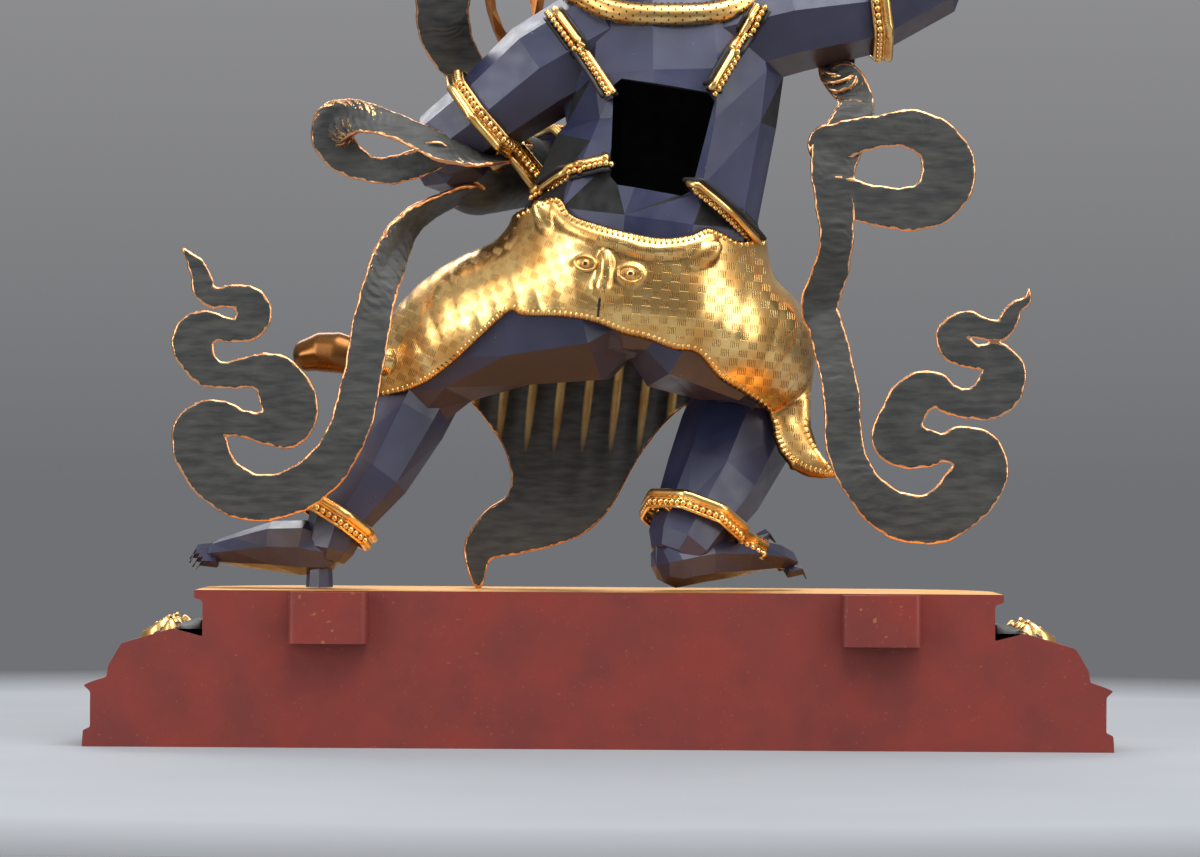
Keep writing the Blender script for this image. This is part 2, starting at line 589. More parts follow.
class Look:
    """A material of shader nodes. A constant is set on the shader's own socket."""

    def __init__(self, name, **values):
        self.material = bpy.data.materials.new(name)
        self.material.use_nodes = True
        self.nodes = self.material.node_tree.nodes
        self.links = self.material.node_tree.links
        self.shader = self.nodes["Principled BSDF"]
        self.place = self.nodes.new("ShaderNodeTexCoord").outputs["Object"]
        for key, value in values.items():
            self.put(self.shader.inputs[key.replace("_", " ")], value)

    def put(self, socket, value):
        if isinstance(value, bpy.types.NodeSocket):
            self.links.new(value, socket)
        elif hasattr(value, "__len__") and len(socket.default_value) == 4:
            socket.default_value = (*value, 1)
        else:
            socket.default_value = value

    def noise(self, size, detail=4, stretch=(1, 1, 1)):
        """Cloudy noise with features of a size in millimetres."""
        mapping = self.nodes.new("ShaderNodeMapping")
        mapping.inputs["Scale"].default_value = stretch
        self.links.new(self.place, mapping.inputs["Vector"])
        texture = self.nodes.new("ShaderNodeTexNoise")
        self.links.new(mapping.outputs["Vector"], texture.inputs["Vector"])
        texture.inputs["Scale"].default_value = 1000 / size
        texture.inputs["Detail"].default_value = detail
        return texture.outputs["Fac"]

    def attribute(self, name):
        node = self.nodes.new("ShaderNodeAttribute")
        node.attribute_name = name
        return node.outputs["Fac"]

    def facing(self, axis=2):
        """How far the surface faces along an axis of the world."""
        split = self.nodes.new("ShaderNodeSeparateXYZ")
        self.links.new(self.nodes.new("ShaderNodeNewGeometry").outputs["Normal"], split.inputs[0])
        return split.outputs[axis]

    def ramp(self, value, low, high, start=0.0, end=1.0):
        node = self.nodes.new("ShaderNodeMapRange")
        for key, number in zip(["Value", "From Min", "From Max", "To Min", "To Max"], [value, low, high, start, end]):
            self.put(node.inputs[key], number)
        return node.outputs["Result"]

    def calc(self, operation, a, b=0.0):
        node = self.nodes.new("ShaderNodeMath")
        node.operation = operation
        self.put(node.inputs[0], a)
        self.put(node.inputs[1], b)
        return node.outputs[0]

    def mix(self, amount, a, b):
        node = self.nodes.new("ShaderNodeMix")
        node.data_type = "RGBA"
        for index, value in zip((0, 6, 7), (amount, a, b)):
            self.put(node.inputs[index], value)
        return node.outputs[2]

    def bump(self, height, depth, strength=1.0):
        """Fine unevenness, its depth in millimetres."""
        node = self.nodes.new("ShaderNodeBump")
        node.inputs["Strength"].default_value = strength
        node.inputs["Distance"].default_value = depth * MM
        self.links.new(height, node.inputs["Height"])
        self.links.new(node.outputs["Normal"], self.shader.inputs["Normal"])

    def use(self, **values):
        for key, value in values.items():
            self.put(self.shader.inputs[key.replace("_", " ")], value)
        return self.material


GOLD = (0.95, 0.64, 0.24)
GOLD_DEEP = (0.70, 0.36, 0.10)
GOLD_DARK = (0.16, 0.055, 0.016)
COPPER = (0.86, 0.40, 0.18)
BLUE = srgb(31, 35, 62)
BLUE_PALE = srgb(52, 54, 82)
BROWN = srgb(64, 46, 42)
CHARCOAL = srgb(50, 51, 50)
BRICK = srgb(128, 46, 36)
BRICK_PALE = srgb(176, 92, 74)


def gilding(name, bright=GOLD, deep=GOLD_DEEP, rough=(0.2, 0.36)):
    """Gilding that is redder in patches and dark in its recesses."""
    look = Look(name, Metallic=1.0)
    cloud = look.noise(9, 5)
    colour = look.mix(look.ramp(cloud, 0.35, 0.68), bright, deep)
    colour = look.mix(look.ramp(look.attribute("cavity"), 0.02, 0.22), colour, GOLD_DARK)
    look.bump(look.noise(2.2, 3), 0.12, 0.5)
    return look.use(Base_Color=colour, Roughness=look.ramp(cloud, 0.3, 0.7, *rough))


def blue_paint():
    """Dark blue satin paint, browner underneath, with a few chips and specks of dust."""
    look = Look("blue_paint", Metallic=0.0, Coat_Weight=0.12, Coat_Roughness=0.3)
    colour = look.mix(look.ramp(look.noise(26, 5), 0.35, 0.7), BLUE, BLUE_PALE)
    colour = look.mix(look.ramp(look.facing(), -0.2, -0.9), colour, BROWN)
    colour = look.mix(look.ramp(look.attribute("grime"), 0, 1), colour, srgb(12, 12, 20))
    chips = look.ramp(look.noise(1.6, 6), 0.73, 0.76)
    colour = look.mix(chips, colour, srgb(120, 104, 96))
    look.bump(look.noise(5, 4), 0.16, 0.35)
    return look.use(Base_Color=colour, Roughness=look.ramp(look.noise(7, 5), 0.3, 0.7, 0.3, 0.46))


def scarf_paint(name, edge_width=0.7):
    """Dark brushed paint on the back of a sheet, gilding on its front and bare copper along its edges."""
    look = Look(name)
    brushed = look.noise(3.5, 6, (0.35, 1, 1.6))
    back = look.mix(look.ramp(brushed, 0.35, 0.7), srgb(38, 39, 39), srgb(66, 66, 62))
    gilt = look.mix(look.ramp(look.noise(9, 4), 0.35, 0.7), GOLD, GOLD_DEEP)
    painted = look.ramp(look.attribute("face"), 0.1, 0.5)
    worn = look.calc("MULTIPLY", look.ramp(look.noise(2.5, 4), 0.3, 0.7, 0.4, 1.6), edge_width)
    inner = look.ramp(look.calc("ADD", look.attribute("edge"), worn), 0.15, -0.15)
    paint = look.calc("MULTIPLY", painted, inner)
    skin = look.mix(look.ramp(inner, 0.2, 0.8), COPPER, gilt)
    look.bump(brushed, 0.12, 0.6)
    return look.use(
        Base_Color=look.mix(paint, skin, back), Metallic=look.ramp(paint, 0, 1, 1, 0),
        Roughness=look.ramp(paint, 0, 1, 0.28, 0.55))


def brick_paint():
    """Brick red paint, cloudy and dusty, worn to gold at its edges."""
    look = Look("brick_paint")
    cloud = look.noise(22, 6)
    colour = look.mix(look.ramp(cloud, 0.35, 0.7), BRICK, srgb(108, 38, 31))
    dust = look.ramp(look.noise(1.3, 6), 0.66, 0.74)
    colour = look.mix(look.calc("MULTIPLY", dust, 0.5), colour, BRICK_PALE)
    worn = look.calc("ADD", look.attribute("wear"), look.ramp(look.noise(3, 5), 0.3, 0.7, -0.5, 0.25))
    bare = look.ramp(worn, 0.45, 0.6)
    look.bump(look.noise(6, 5), 0.2, 0.4)
    return look.use(
        Base_Color=look.mix(bare, colour, GOLD_DEEP), Metallic=bare, Roughness=look.ramp(cloud, 0.3, 0.7, 0.42, 0.6))


def plain_paint(name, light, dark, rough=(0.35, 0.55), size=6):
    """Paint in two cloudy tones."""
    look = Look(name)
    cloud = look.noise(size, 5)
    look.bump(look.noise(size / 3, 3), 0.1, 0.4)
    return look.use(
        Base_Color=look.mix(look.ramp(cloud, 0.35, 0.68), light, dark), Roughness=look.ramp(cloud, 0.3, 0.7, *rough))


def tiger_gilding():
    """Bright gilding engraved with rows of short strokes, which run as the hatch attributes say."""
    look = Look("tiger_gilding", Metallic=1.0)
    cloud = look.noise(11, 5)
    colour = look.mix(look.ramp(cloud, 0.35, 0.68), GOLD, GOLD_DEEP)
    u, v = look.attribute("hatch_u"), look.attribute("hatch_v")
    cell_u, cell_v = look.calc("FLOOR", u), look.calc("FLOOR", v)
    odd = look.calc("ABSOLUTE", look.calc("MODULO", look.calc("ADD", cell_u, cell_v), 2.0))
    stroke = look.ramp(look.calc("SINE", look.calc("MULTIPLY", u, 2 * math.pi * HATCH["strokes"])), 0.1, 0.7)
    ends = look.calc("ABSOLUTE", look.calc("SUBTRACT", look.calc("FRACT", v), 0.5))
    within = look.calc("MULTIPLY", look.ramp(ends, 0.44, 0.38), look.ramp(odd, 0.4, 0.6))
    cut = look.calc("MULTIPLY", look.calc("MULTIPLY", stroke, within), look.attribute("hatch"))
    colour = look.mix(look.calc("MULTIPLY", cut, 0.8), colour, GOLD_DARK)
    colour = look.mix(look.ramp(look.attribute("cavity"), 0.04, 0.3), colour, GOLD_DARK)
    colour = look.mix(look.attribute("mark"), colour, GOLD_DARK)
    look.bump(look.ramp(cut, 0, 1, 1, 0), 0.18, 0.8)
    return look.use(Base_Color=colour, Roughness=look.ramp(cloud, 0.3, 0.7, 0.2, 0.34))


def petal_paint():
    """Black ground with gold on the parts that stand proud."""
    look = Look("petal_paint")
    gold = look.ramp(look.calc("ADD", look.attribute("proud"), look.ramp(look.noise(2, 4), 0.3, 0.7, -0.25, 0.25)), 0.4, 0.6)
    tone = look.mix(look.ramp(look.noise(7, 4), 0.35, 0.7), GOLD, GOLD_DEEP)
    tone = look.mix(look.ramp(look.attribute("cavity"), 0.03, 0.25), tone, GOLD_DARK)
    look.bump(look.noise(2, 3), 0.12, 0.5)
    return look.use(
        Base_Color=look.mix(gold, srgb(30, 29, 30), tone), Metallic=gold, Roughness=look.ramp(gold, 0, 1, 0.5, 0.27))


HATCH = {"wide": 3.6, "high": 3.4, "strokes": 5}

gilt = gilding("gilding")
rope_gilt = gilding("reddish_gilding", (0.80, 0.36, 0.12), (0.55, 0.2, 0.06), (0.3, 0.42))
copper = gilding("bare_copper", COPPER, (0.6, 0.24, 0.1))
blue = blue_paint()
ribbon_paint = scarf_paint("ribbon_paint")
brick = brick_paint()
dark = plain_paint("chamber_black", srgb(20, 18, 17), srgb(8, 7, 7), (0.7, 0.9))
ink = plain_paint("dark_lines", srgb(30, 22, 18), srgb(14, 11, 12), (0.5, 0.7))
flame_red = plain_paint("flame_red", srgb(176, 84, 34), srgb(138, 56, 24))
tiger = tiger_gilding()
petal_black = petal_paint()


# Figure

torso = Limb(TORSO)
belly, seat = Lump(BELLY), Lump(SEAT)
thighs = [Limb(LEFT_THIGH), Limb(RIGHT_THIGH)]


def hips(points):
    """Trunk and thighs, which the tiger skin lies on."""
    body = blend_in(torso(points), belly(points), 12)
    body = blend_in(body, seat(points), 10)
    for thigh in thighs:
        body = blend_in(body, thigh(points), 10)
    return body


def torso_depth(x, z, side=1):
    """Depth of the trunk's back or front at a place seen from behind."""
    route = spline(TORSO, 61)
    centre = route[np.argmin(np.abs(route[:, 2] - z))]
    out = min(abs(x - centre[0]) / centre[3], 0.995)
    return centre[1] + side * centre[4] * math.sqrt(1 - out * out)


def prism_mesh(corners, near, far):
    """Closed mesh of an outline [x, z] pushed through in depth."""
    count = len(corners)
    vertices = [[x, near, z] for x, z in corners] + [[x, far, z] for x, z in corners]
    sides = [[i, (i + 1) % count, count + (i + 1) % count, count + i] for i in range(count)]
    return np.array(vertices, float), [list(range(count))[::-1], list(range(count, 2 * count)), *sides]


def carve(piece, vertices, faces):
    """Cuts a closed mesh out of a piece."""
    mesh = bpy.data.meshes.new("cutter")
    mesh.from_pydata((vertices * MM).tolist(), [], faces)
    cutter = bpy.data.objects.new("cutter", mesh)
    bpy.context.scene.collection.objects.link(cutter)
    cut = piece.modifiers.new("cut", "BOOLEAN")
    cut.operation, cut.solver, cut.object = "DIFFERENCE", "EXACT", cutter
    done = bpy.data.meshes.new_from_object(piece.evaluated_get(bpy.context.evaluated_depsgraph_get()))
    piece.modifiers.clear()
    bpy.data.objects.remove(cutter)
    piece.data = done


def paint_where(piece, test, number):
    """Gives a material number to the faces whose centres, in millimetres, pass a test."""
    polygons = piece.data.polygons
    centres = np.empty(3 * len(polygons))
    polygons.foreach_get("center", centres)
    slots = np.empty(len(polygons), np.int32)
    polygons.foreach_get("material_index", slots)
    slots[test(centres.reshape(-1, 3) / MM)] = number
    polygons.foreach_set("material_index", slots)


# Rings as [x, y, z, radius, direction x, y, z], and the sides on which their beads lie
RINGS = [
    [46.5, 12.5, 250, 18.6, 14, -3, -11.5, -1], [-108.5, 12.5, 295.8, 20.4, -26, -2, 4, -1],
    [19, -42, 235.3, 12, -16, -15, 5, 1], [-135, 14, 355, 12, 4, 0, 15, 1],
    [104.5, 13.6, 88.4, 14.2, 8.5, 2, -13, 1], [-37.6, 11.5, 88.6, 18.2, 3.5, 4, -10, 1],
]


def on_a_ring(places):
    """Which places lie on the rings worn on the limbs."""
    found = np.zeros(len(places), bool)
    for x, y, z, radius, lx, ly, lz, _ in RINGS:
        apart = places - [x, y, z]
        out = np.linalg.norm(apart, axis=1)
        found |= (np.abs(apart @ unit(np.array([lx, ly, lz], float))) < 2.3) & (out > radius + 0.4) & (out < radius + 4)
    return found


def show_node(name, *materials):
    """A solid shown as it is, with materials of its own."""
    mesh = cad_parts[name].data
    mesh.materials.clear()
    for material in materials:
        mesh.materials.append(material)
    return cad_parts[name]


figure = show_node("figure", blue, dark, gilt)
paint_where(figure, lambda c: (torso(c) < -2) & (c[:, 2] > 200) & (c[:, 2] < 275), 1)
paint_where(figure, on_a_ring, 2)
corners = np.array([vertex.co for vertex in figure.data.vertices]) / MM
body_skin = Skin(corners, [list(face.vertices) for face in figure.data.polygons])


# Tiger skin

skin_edge = Outline(SKIN_EDGE)
tail, paw = Limb(TAIL), Limb(PAW)
EARS = [[21.4, 206.9, -32.5, 4.4, 9.2], [-39.1, 192.8, 61.6, 4.6, 9.4]]
EYES = [[6.1, 189.3, 5.2, 3.2], [-11.5, 185.3, 5.7, 3.6]]
EYE_TILT = 10
NOSE = [-0.7, 179.9]
CHEEKS = [[19, 181, 15], [-30, 172, 16]]
BROW = [[20, 212], [12.5, 204], [3, 199.8], [-8, 197.6], [-17, 194.6], [-31, 195.2], [-43, 199.5]]
SPLIT = [[0.4, 175.7], [1.3, 166.6]]


def on_skin(x, z, sink=0.0):
    return [x, torso_depth(x, z) + SKIN_THICK - sink, z]


def head_lump(x, z, across, deep, high, turn=0, sink=0.0):
    return Lump([*on_skin(x, z, sink), across, deep, high], turn)


relief = [
    head_lump(NOSE[0], NOSE[1] + 0.5, 4.6, 5.6, 5.2), head_lump(NOSE[0] - 5, NOSE[1] - 1, 3.2, 3.6, 3.6),
    head_lump(NOSE[0] + 5, NOSE[1], 3.2, 3.6, 3.6), head_lump(-5.5, 174, 7, 4.4, 5.6), head_lump(7, 175, 7, 4.4, 5.6),
    head_lump(-2, 187.5, 3.4, 3.6, 7),
    *[head_lump(x, z, wide, 3.2, high, turn) for x, z, turn, wide, high in EARS],
    *[head_lump(x, z, r, 5.4, r * 0.85, 0, 3) for x, z, r in CHEEKS],
    *[head_lump(x, z, wide, 2.6, high, -EYE_TILT) for x, z, wide, high in EYES],
]
brow = Limb([[*on_skin(x, z, 0.6), 3.1, 2.4] for x, z in BROW], 4)


def skin_field(points):
    skin = blend_out(hips(points) - SKIN_THICK, skin_edge(points), 1.2)
    for part in relief:
        skin = blend_in(skin, part(points), 2)
    skin = blend_in(skin, brow(points), 1)
    return blend_in(blend_in(skin, tail(points), 2), paw(points), 2)


skin_vertices, skin_quads = field_mesh(skin_field, (-98, -42, 102), (128, 66, 222), 1.1, 1)
tiger_skin = Skin(skin_vertices, skin_quads)
away = skin_edge(skin_vertices)
lean = np.radians(np.where(skin_vertices[:, 0] > 0, 24.0, 4.0))
u = skin_vertices[:, 0] * np.cos(lean) + skin_vertices[:, 2] * np.sin(lean)
v = -skin_vertices[:, 0] * np.sin(lean) + skin_vertices[:, 2] * np.cos(lean)
pile = Pile()
pile.add(
    skin_vertices, skin_quads, cavity=hollowness(skin_vertices, skin_quads), hatch_u=u / HATCH["wide"],
    hatch_v=v / HATCH["high"], hatch=np.clip((-away - 3.5) / 0.8, 0, 1), mark=np.clip((away + 0.9) / 0.5, 0, 1) * 0.9)
pile.piece("tiger_skin", [tiger], "gilt", ["tiger_skin"])


def laid(surface, points, lift=0.0, pitch=1.0, side=1):
    """An [x, z] path laid on a surface, as evenly spaced places and normals."""
    flat = resample(spline(points, 12 * len(points)), pitch)
    places, normals = surface.from_behind(flat, side=side)
    return places + normals * lift, normals


def across_run(places, normals):
    return unit(np.cross(normals, unit(np.gradient(places, axis=0))))


trim = Pile()
LINES = Pile()

# Stitches along the skin's edge, seen from behind, and dark engraved marks
for x, z in resample(np.vstack([skin_edge.corners, skin_edge.corners[:1]]), 2.1):
    centre = np.array([x, z])
    slope = np.array([
        skin_edge(np.array([[x + d, 0, z]]))[0] - skin_edge(np.array([[x - d, 0, z]]))[0] for d in (0.4,)
    ] + [
        skin_edge(np.array([[x, 0, z + d]]))[0] - skin_edge(np.array([[x, 0, z - d]]))[0] for d in (0.4,)])
    inward = -slope / max(np.linalg.norm(slope), 1e-6)
    path = [centre + inward * s for s in (0.5, 1.4, 2.4)]
    places, normals = tiger_skin.from_behind(path)
    if len(places) == 3 and np.ptp(places[:, 1]) < 4:
        trim.add(*tube(places + normals * 0.1, 0.62, 6))
for line, wide in [(SPLIT, 0.55)]:
    places, normals = laid(tiger_skin, line, 0.05, 0.8)
    LINES.add(*tube(places, wide, 6), 0)
for x, z, wide, high in EYES:
    tilt = math.radians(EYE_TILT)
    for scale, radius in ((0.82, 0.7),):
        ring = [[
            x + scale * (wide * math.cos(t) * math.cos(tilt) - high * math.sin(t) * math.sin(tilt)),
            z + scale * (wide * math.cos(t) * math.sin(tilt) + high * math.sin(t) * math.cos(tilt)),
        ] for t in np.linspace(0, 2 * math.pi, 28)[:-1]]
        places, normals = tiger_skin.from_behind(ring)
        trim.add(*tube(places + normals * 0.3, radius, 6, closed=True))
    spot, normal = tiger_skin.from_behind([[x, z]])
    trim.add(*ball(spot[0] + normal[0] * 0.2, [1.9, 1.0, 1.7], 8, 12))
    LINES.add(*ball(spot[0] + normal[0] * 0.9, [0.8, 0.5, 0.8], 6, 8))


# Ornaments laid on the figure

STRAPS = [
    [[[20, 290], [8, 273], [-3, 256]], 1], [[[-63, 292], [-53, 275], [-43.5, 258.5]], -1],
    [[[-2.5, 229.5], [12.5, 226], [27, 217]], -1], [[[-35.5, 221.5], [-49, 211], [-62, 199]], 1],
]
BEAD = 1.35
for points, hand in STRAPS:
    places, normals = laid(body_skin, points, 0.4, 1.0)
    side = across_run(places, normals) * hand
    trim.add(*tube(places + side * 1.7 + normals * 0.5, 1.55, 10))
    trim.add(*tube(places - side * 1.1 - normals * 0.3, 1.1, 6))
    beads = resample(places - side * 1.5 + normals * 0.9, 2.55)
    for bead in beads:
        trim.add(*ball(bead, BEAD, 6, 10))
    LINES.add(*tube(places + side * 4.0 - normals * 0.75, 1.0, 6))
    LINES.add(*tube(places - side * 3.4 - normals * 0.75, 1.0, 6))


def torus(points, normals, radius, lift=0.0):
    trim.add(*tube(points + normals * lift, radius, 10, closed=True))


def bead_ring(points, normals, radius, pitch, lift=0.0):
    loop = np.vstack([points, points[:1]]) + np.vstack([normals, normals[:1]]) * lift
    for bead in resample(loop, pitch)[:-1]:
        trim.add(*ball(bead, radius, 6, 10))


for x, y, z, radius, lx, ly, lz, hand in RINGS:
    axis = unit(np.array([lx, ly, lz], float))
    centre = np.array([x, y, z], float)
    places, normals = body_skin.round_limb(centre, axis, radius)
    torus(places - axis * hand * 1.9, normals, 1.9, 0.5)
    torus(places + axis * hand * 0.1, normals, 0.6, 0.5)
    bead_ring(places + axis * hand * 1.9, normals, 1.45, 2.8, 0.6)
    torus(places + axis * hand * 3.6, normals, 0.7, 0.2)

# Snake round the neck, its scales as small dark lozenges, and a row of beads above it
SNAKE = {"drop": [288.5, 281], "half": 38, "thick": 4.7}
angles = np.linspace(0, 2 * np.pi, 73)[:-1]
snake = []
for angle in angles:
    sag = SNAKE["drop"][0] + (SNAKE["drop"][1] - SNAKE["drop"][0]) * (1 - math.cos(angle)) / 2
    x = -26 + SNAKE["half"] * math.sin(angle)
    side = 1 if math.cos(angle) >= 0 else -1
    depth = torso_depth(x, sag, side) + 0.5 * math.cos(angle)
    snake.append([x, depth, sag + 14 * abs(math.sin(angle)) ** 3])
snake = np.array(snake)
for _ in range(3):
    snake = (np.roll(snake, 1, 0) + 2 * snake + np.roll(snake, -1, 0)) / 4
trim.add(*tube(snake, SNAKE["thick"], 20, closed=True))
run = resample(np.vstack([snake, snake[:1]]), 2.6)[:-1]
tangent = unit(np.roll(run, -1, 0) - np.roll(run, 1, 0))
outward = unit(run - [-26, 12, 286])
outward = unit(outward - (outward * tangent).sum(1)[:, None] * tangent)
upward = np.cross(tangent, outward)
for i, (at, out, up) in enumerate(zip(run, outward, upward)):
    for k in range(-2, 3):
        turn = (k + 0.5 * (i % 2)) * 0.62
        direction = out * math.cos(turn) + up * math.sin(turn)
        LINES.add(*ball(at + direction * (SNAKE["thick"] - 0.25), 0.62, 3, 4))
trim.piece("trim", [gilt], "gilt")
LINES.piece("dark_lines", [ink], "blue_paint")


# Scarf and apron

def hang(name, ribbons, pitch, *extra):
    """One piece of scarf from its ribbons, with its painted side, its edges and its worn places told apart."""
    whole = [Ribbon(stations, seed=index) for index, stations in enumerate(ribbons)]

    def field(points):
        found = [ribbon(points) for ribbon in whole] + [part(points) for part in extra]
        result = found[0]
        for other in found[1:]:
            result = blend_in(result, other, 0.6)
        return result

    low = np.min([r.low for r in whole + list(extra)], axis=0)
    high = np.max([r.high for r in whole + list(extra)], axis=0)
    vertices, quads = field_mesh(field, low, high, pitch, 1)
    parts = [ribbon.parts(vertices) for ribbon in whole]
    nearest = np.argmin([np.maximum(p[0], -0.2) + 0.02 * p[1] for p in parts], axis=0)
    rows = np.arange(len(vertices))
    edge = np.array([p[1] for p in parts])[nearest, rows]
    face = np.array([p[2] for p in parts])[nearest, rows]
    for part in extra:
        wrapped = part(vertices) < np.array([p[0] for p in parts]).min(0) - 0.3
        edge, face = np.where(wrapped, -3, edge), np.where(wrapped, 1, face)
    pile = Pile()
    pile.add(vertices, quads, edge=edge, face=face)
    pile.piece(name, [ribbon_paint], "black_paint", [name])


hang("scarf_right", [RIGHT_RUN, RIGHT_TIP, RIGHT_LOOP], 0.8)
hang("scarf_left", [LEFT_RUN, LEFT_TIP, LEFT_LOOP], 0.8, Limb(CUFF))
hang("scarf_arch", [ARCH], 0.8)

apron_edge = Outline(APRON_EDGE)


def apron_depth(x, z):
    f = np.clip((APRON_FALL["top"] - z) / (APRON_FALL["top"] - APRON_FALL["bottom"]), 0, 1)
    wave = APRON_FALL["sway"] * np.sin(np.pi * 1.6 * f) * (1 - 0.4 * f)
    return APRON_FALL["near"] + (APRON_FALL["far"] - APRON_FALL["near"]) * f - wave + 0.05 * np.abs(x - 8)


def apron_field(points):
    x, y, z = points.T
    fold = 0.9 * np.sin(x * 0.55 + 0.06 * z) * np.clip((z - 96) / 40, 0, 1)
    sheet = np.abs(y - apron_depth(x, z) + 0.9 - fold) * 0.92 - 0.85
    return blend_out(sheet, apron_edge(points), 0.8)


vertices, quads = field_mesh(apron_field, (-45, -40, 58), (58, 2, 176), 0.85)
pile = Pile()
behind = vertices[:, 1] - apron_depth(vertices[:, 0], vertices[:, 2]) + 0.9
pile.add(vertices, quads, edge=apron_edge(vertices), face=behind)
pile.piece("apron", [ribbon_paint], "black_paint", ["apron"])


# Pedestal

SIDE_RUN = BACK - (NECK_FRONT + CORNER)
ARC_RUN = math.pi / 2 * CORNER
WHOLE_RUN = 2 * SIDE_RUN + 2 * ARC_RUN + 2 * (NECK_HALF - CORNER)


def plan_point(along, out):
    """A point at a distance along the pedestal's neck, moved outward."""
    mirrored = along > WHOLE_RUN / 2
    s = WHOLE_RUN - along if mirrored else along
    if s < SIDE_RUN:
        x, y = NECK_HALF + out, BACK - s
    elif s < SIDE_RUN + ARC_RUN:
        angle = (s - SIDE_RUN) / CORNER
        x = NECK_HALF - CORNER + (CORNER + out) * math.cos(angle)
        y = NECK_FRONT + CORNER - (CORNER + out) * math.sin(angle)
    else:
        x, y = WHOLE_RUN / 2 - s, NECK_FRONT - out
    return (-x if mirrored else x), y


def fine_profile():
    """The profile with its corners rounded, and how near each point is to a corner."""
    corners = np.array(PROFILE, float)
    points, wear = [corners[0]], [1.0]
    for before, corner, after in zip(corners, corners[1:], corners[2:]):
        reach = min(0.8, 0.4 * np.linalg.norm(corner - before), 0.4 * np.linalg.norm(after - corner))
        start, end = corner + unit(before - corner) * reach, corner + unit(after - corner) * reach
        proud = np.cross(np.append(corner - before, 0), np.append(after - corner, 0))[2] > 0
        points += [start, (start + 2 * corner + end) / 4, end]
        wear += [0.2 if proud else 0, 1.0 if proud else 0, 0.2 if proud else 0]
    points.append(corners[-1])
    wear.append(1.0)
    return points, wear


def pedestal():
    arc = [SIDE_RUN + ARC_RUN * step / 16 for step in range(17)]
    half = [0, *np.linspace(4, SIDE_RUN - 4, 8), *arc, *np.linspace(SIDE_RUN + ARC_RUN + 6, WHOLE_RUN / 2, 8)]
    stops = half + [WHOLE_RUN - s for s in reversed(half[:-1])]
    points, wear = fine_profile()
    vertices, numbers = [], []
    for (out, z), worn in zip(points, wear):
        for s in stops:
            x, y = plan_point(s, out)
            vertices.append([x, y, z])
            numbers.append(worn)
    across = len(stops)
    faces = []
    for row in range(len(points) - 1):
        for i in range(across):
            j = (i + 1) % across
            faces.append([row * across + j, row * across + i, (row + 1) * across + i, (row + 1) * across + j])
    faces.append(list(range(across)))
    faces.append([(len(points) - 1) * across + i for i in reversed(range(across))])
    pile = Pile()
    pile.add(vertices, faces, wear=numbers)
    return pile.piece("pedestal", [brick], "brick_paint", ["pedestal"], smooth=False)


pedestal()


def back_plate():
    """Flat back plate with its two sockets, open at the top."""
    half = [[NECK_HALF + out, z] for out, z in fine_profile()[0]]
    outline = half + [[-x, z] for x, z in reversed(half)]
    face = BACK + GAP + PLATE_THICK
    pile = Pile()
    vertices, faces = prism_mesh(outline, BACK + GAP, face)
    pile.add(vertices, faces, wear=0.15)
    plate = pile.piece("back_plate", [brick, dark], "brick_paint", ["back_plate"], smooth=False)
    half, r, wall = SOCKET["half"], SOCKET["corner"], SOCKET["wall"]
    for x in SOCKETS:
        angles = np.linspace(0, math.pi / 2, 6)
        out = face + SOCKET["proud"]
        ring = [[x - half, face - 1]]
        ring += [[x - half + r - r * math.cos(a), out - r + r * math.sin(a)] for a in angles]
        ring += [[x + half - r + r * math.cos(a), out - r + r * math.sin(a)] for a in angles[::-1]]
        ring += [[x + half, face - 1]]
        top, bottom = DECK - 0.4, SOCKET["bottom"]
        inner = half - wall
        count = len(ring)
        cup = Pile()
        vertices = [[px, py, bottom] for px, py in ring] + [[px, py, top] for px, py in ring]
        faces = [[i, (i + 1) % count, count + (i + 1) % count, count + i] for i in range(count)]
        faces += [list(range(count))[::-1], list(range(count, 2 * count))]
        cup.add(vertices, faces, wear=0.25)
        name = "socket_left" if x > 0 else "socket_right"
        piece = cup.piece(name, [brick, dark], "brick_paint", ["back_plate"], smooth=False)
        floor = bottom + SOCKET["floor"]
        hollow = [[x - inner, floor], [x + inner, floor], [x + inner, top + 5], [x - inner, top + 5]]
        carve(piece, *prism_mesh(hollow, face + 0.05, out - wall))
        deep = lambda c, x=x: (np.abs(c[:, 0] - x) < inner + 0.1) & (c[:, 1] < out - wall + 0.1) & (c[:, 2] < top - 0.5) & (c[:, 2] > floor - 0.1)
        paint_where(piece, deep, 1)
    return plate


back_plate()


# Petals round the slope

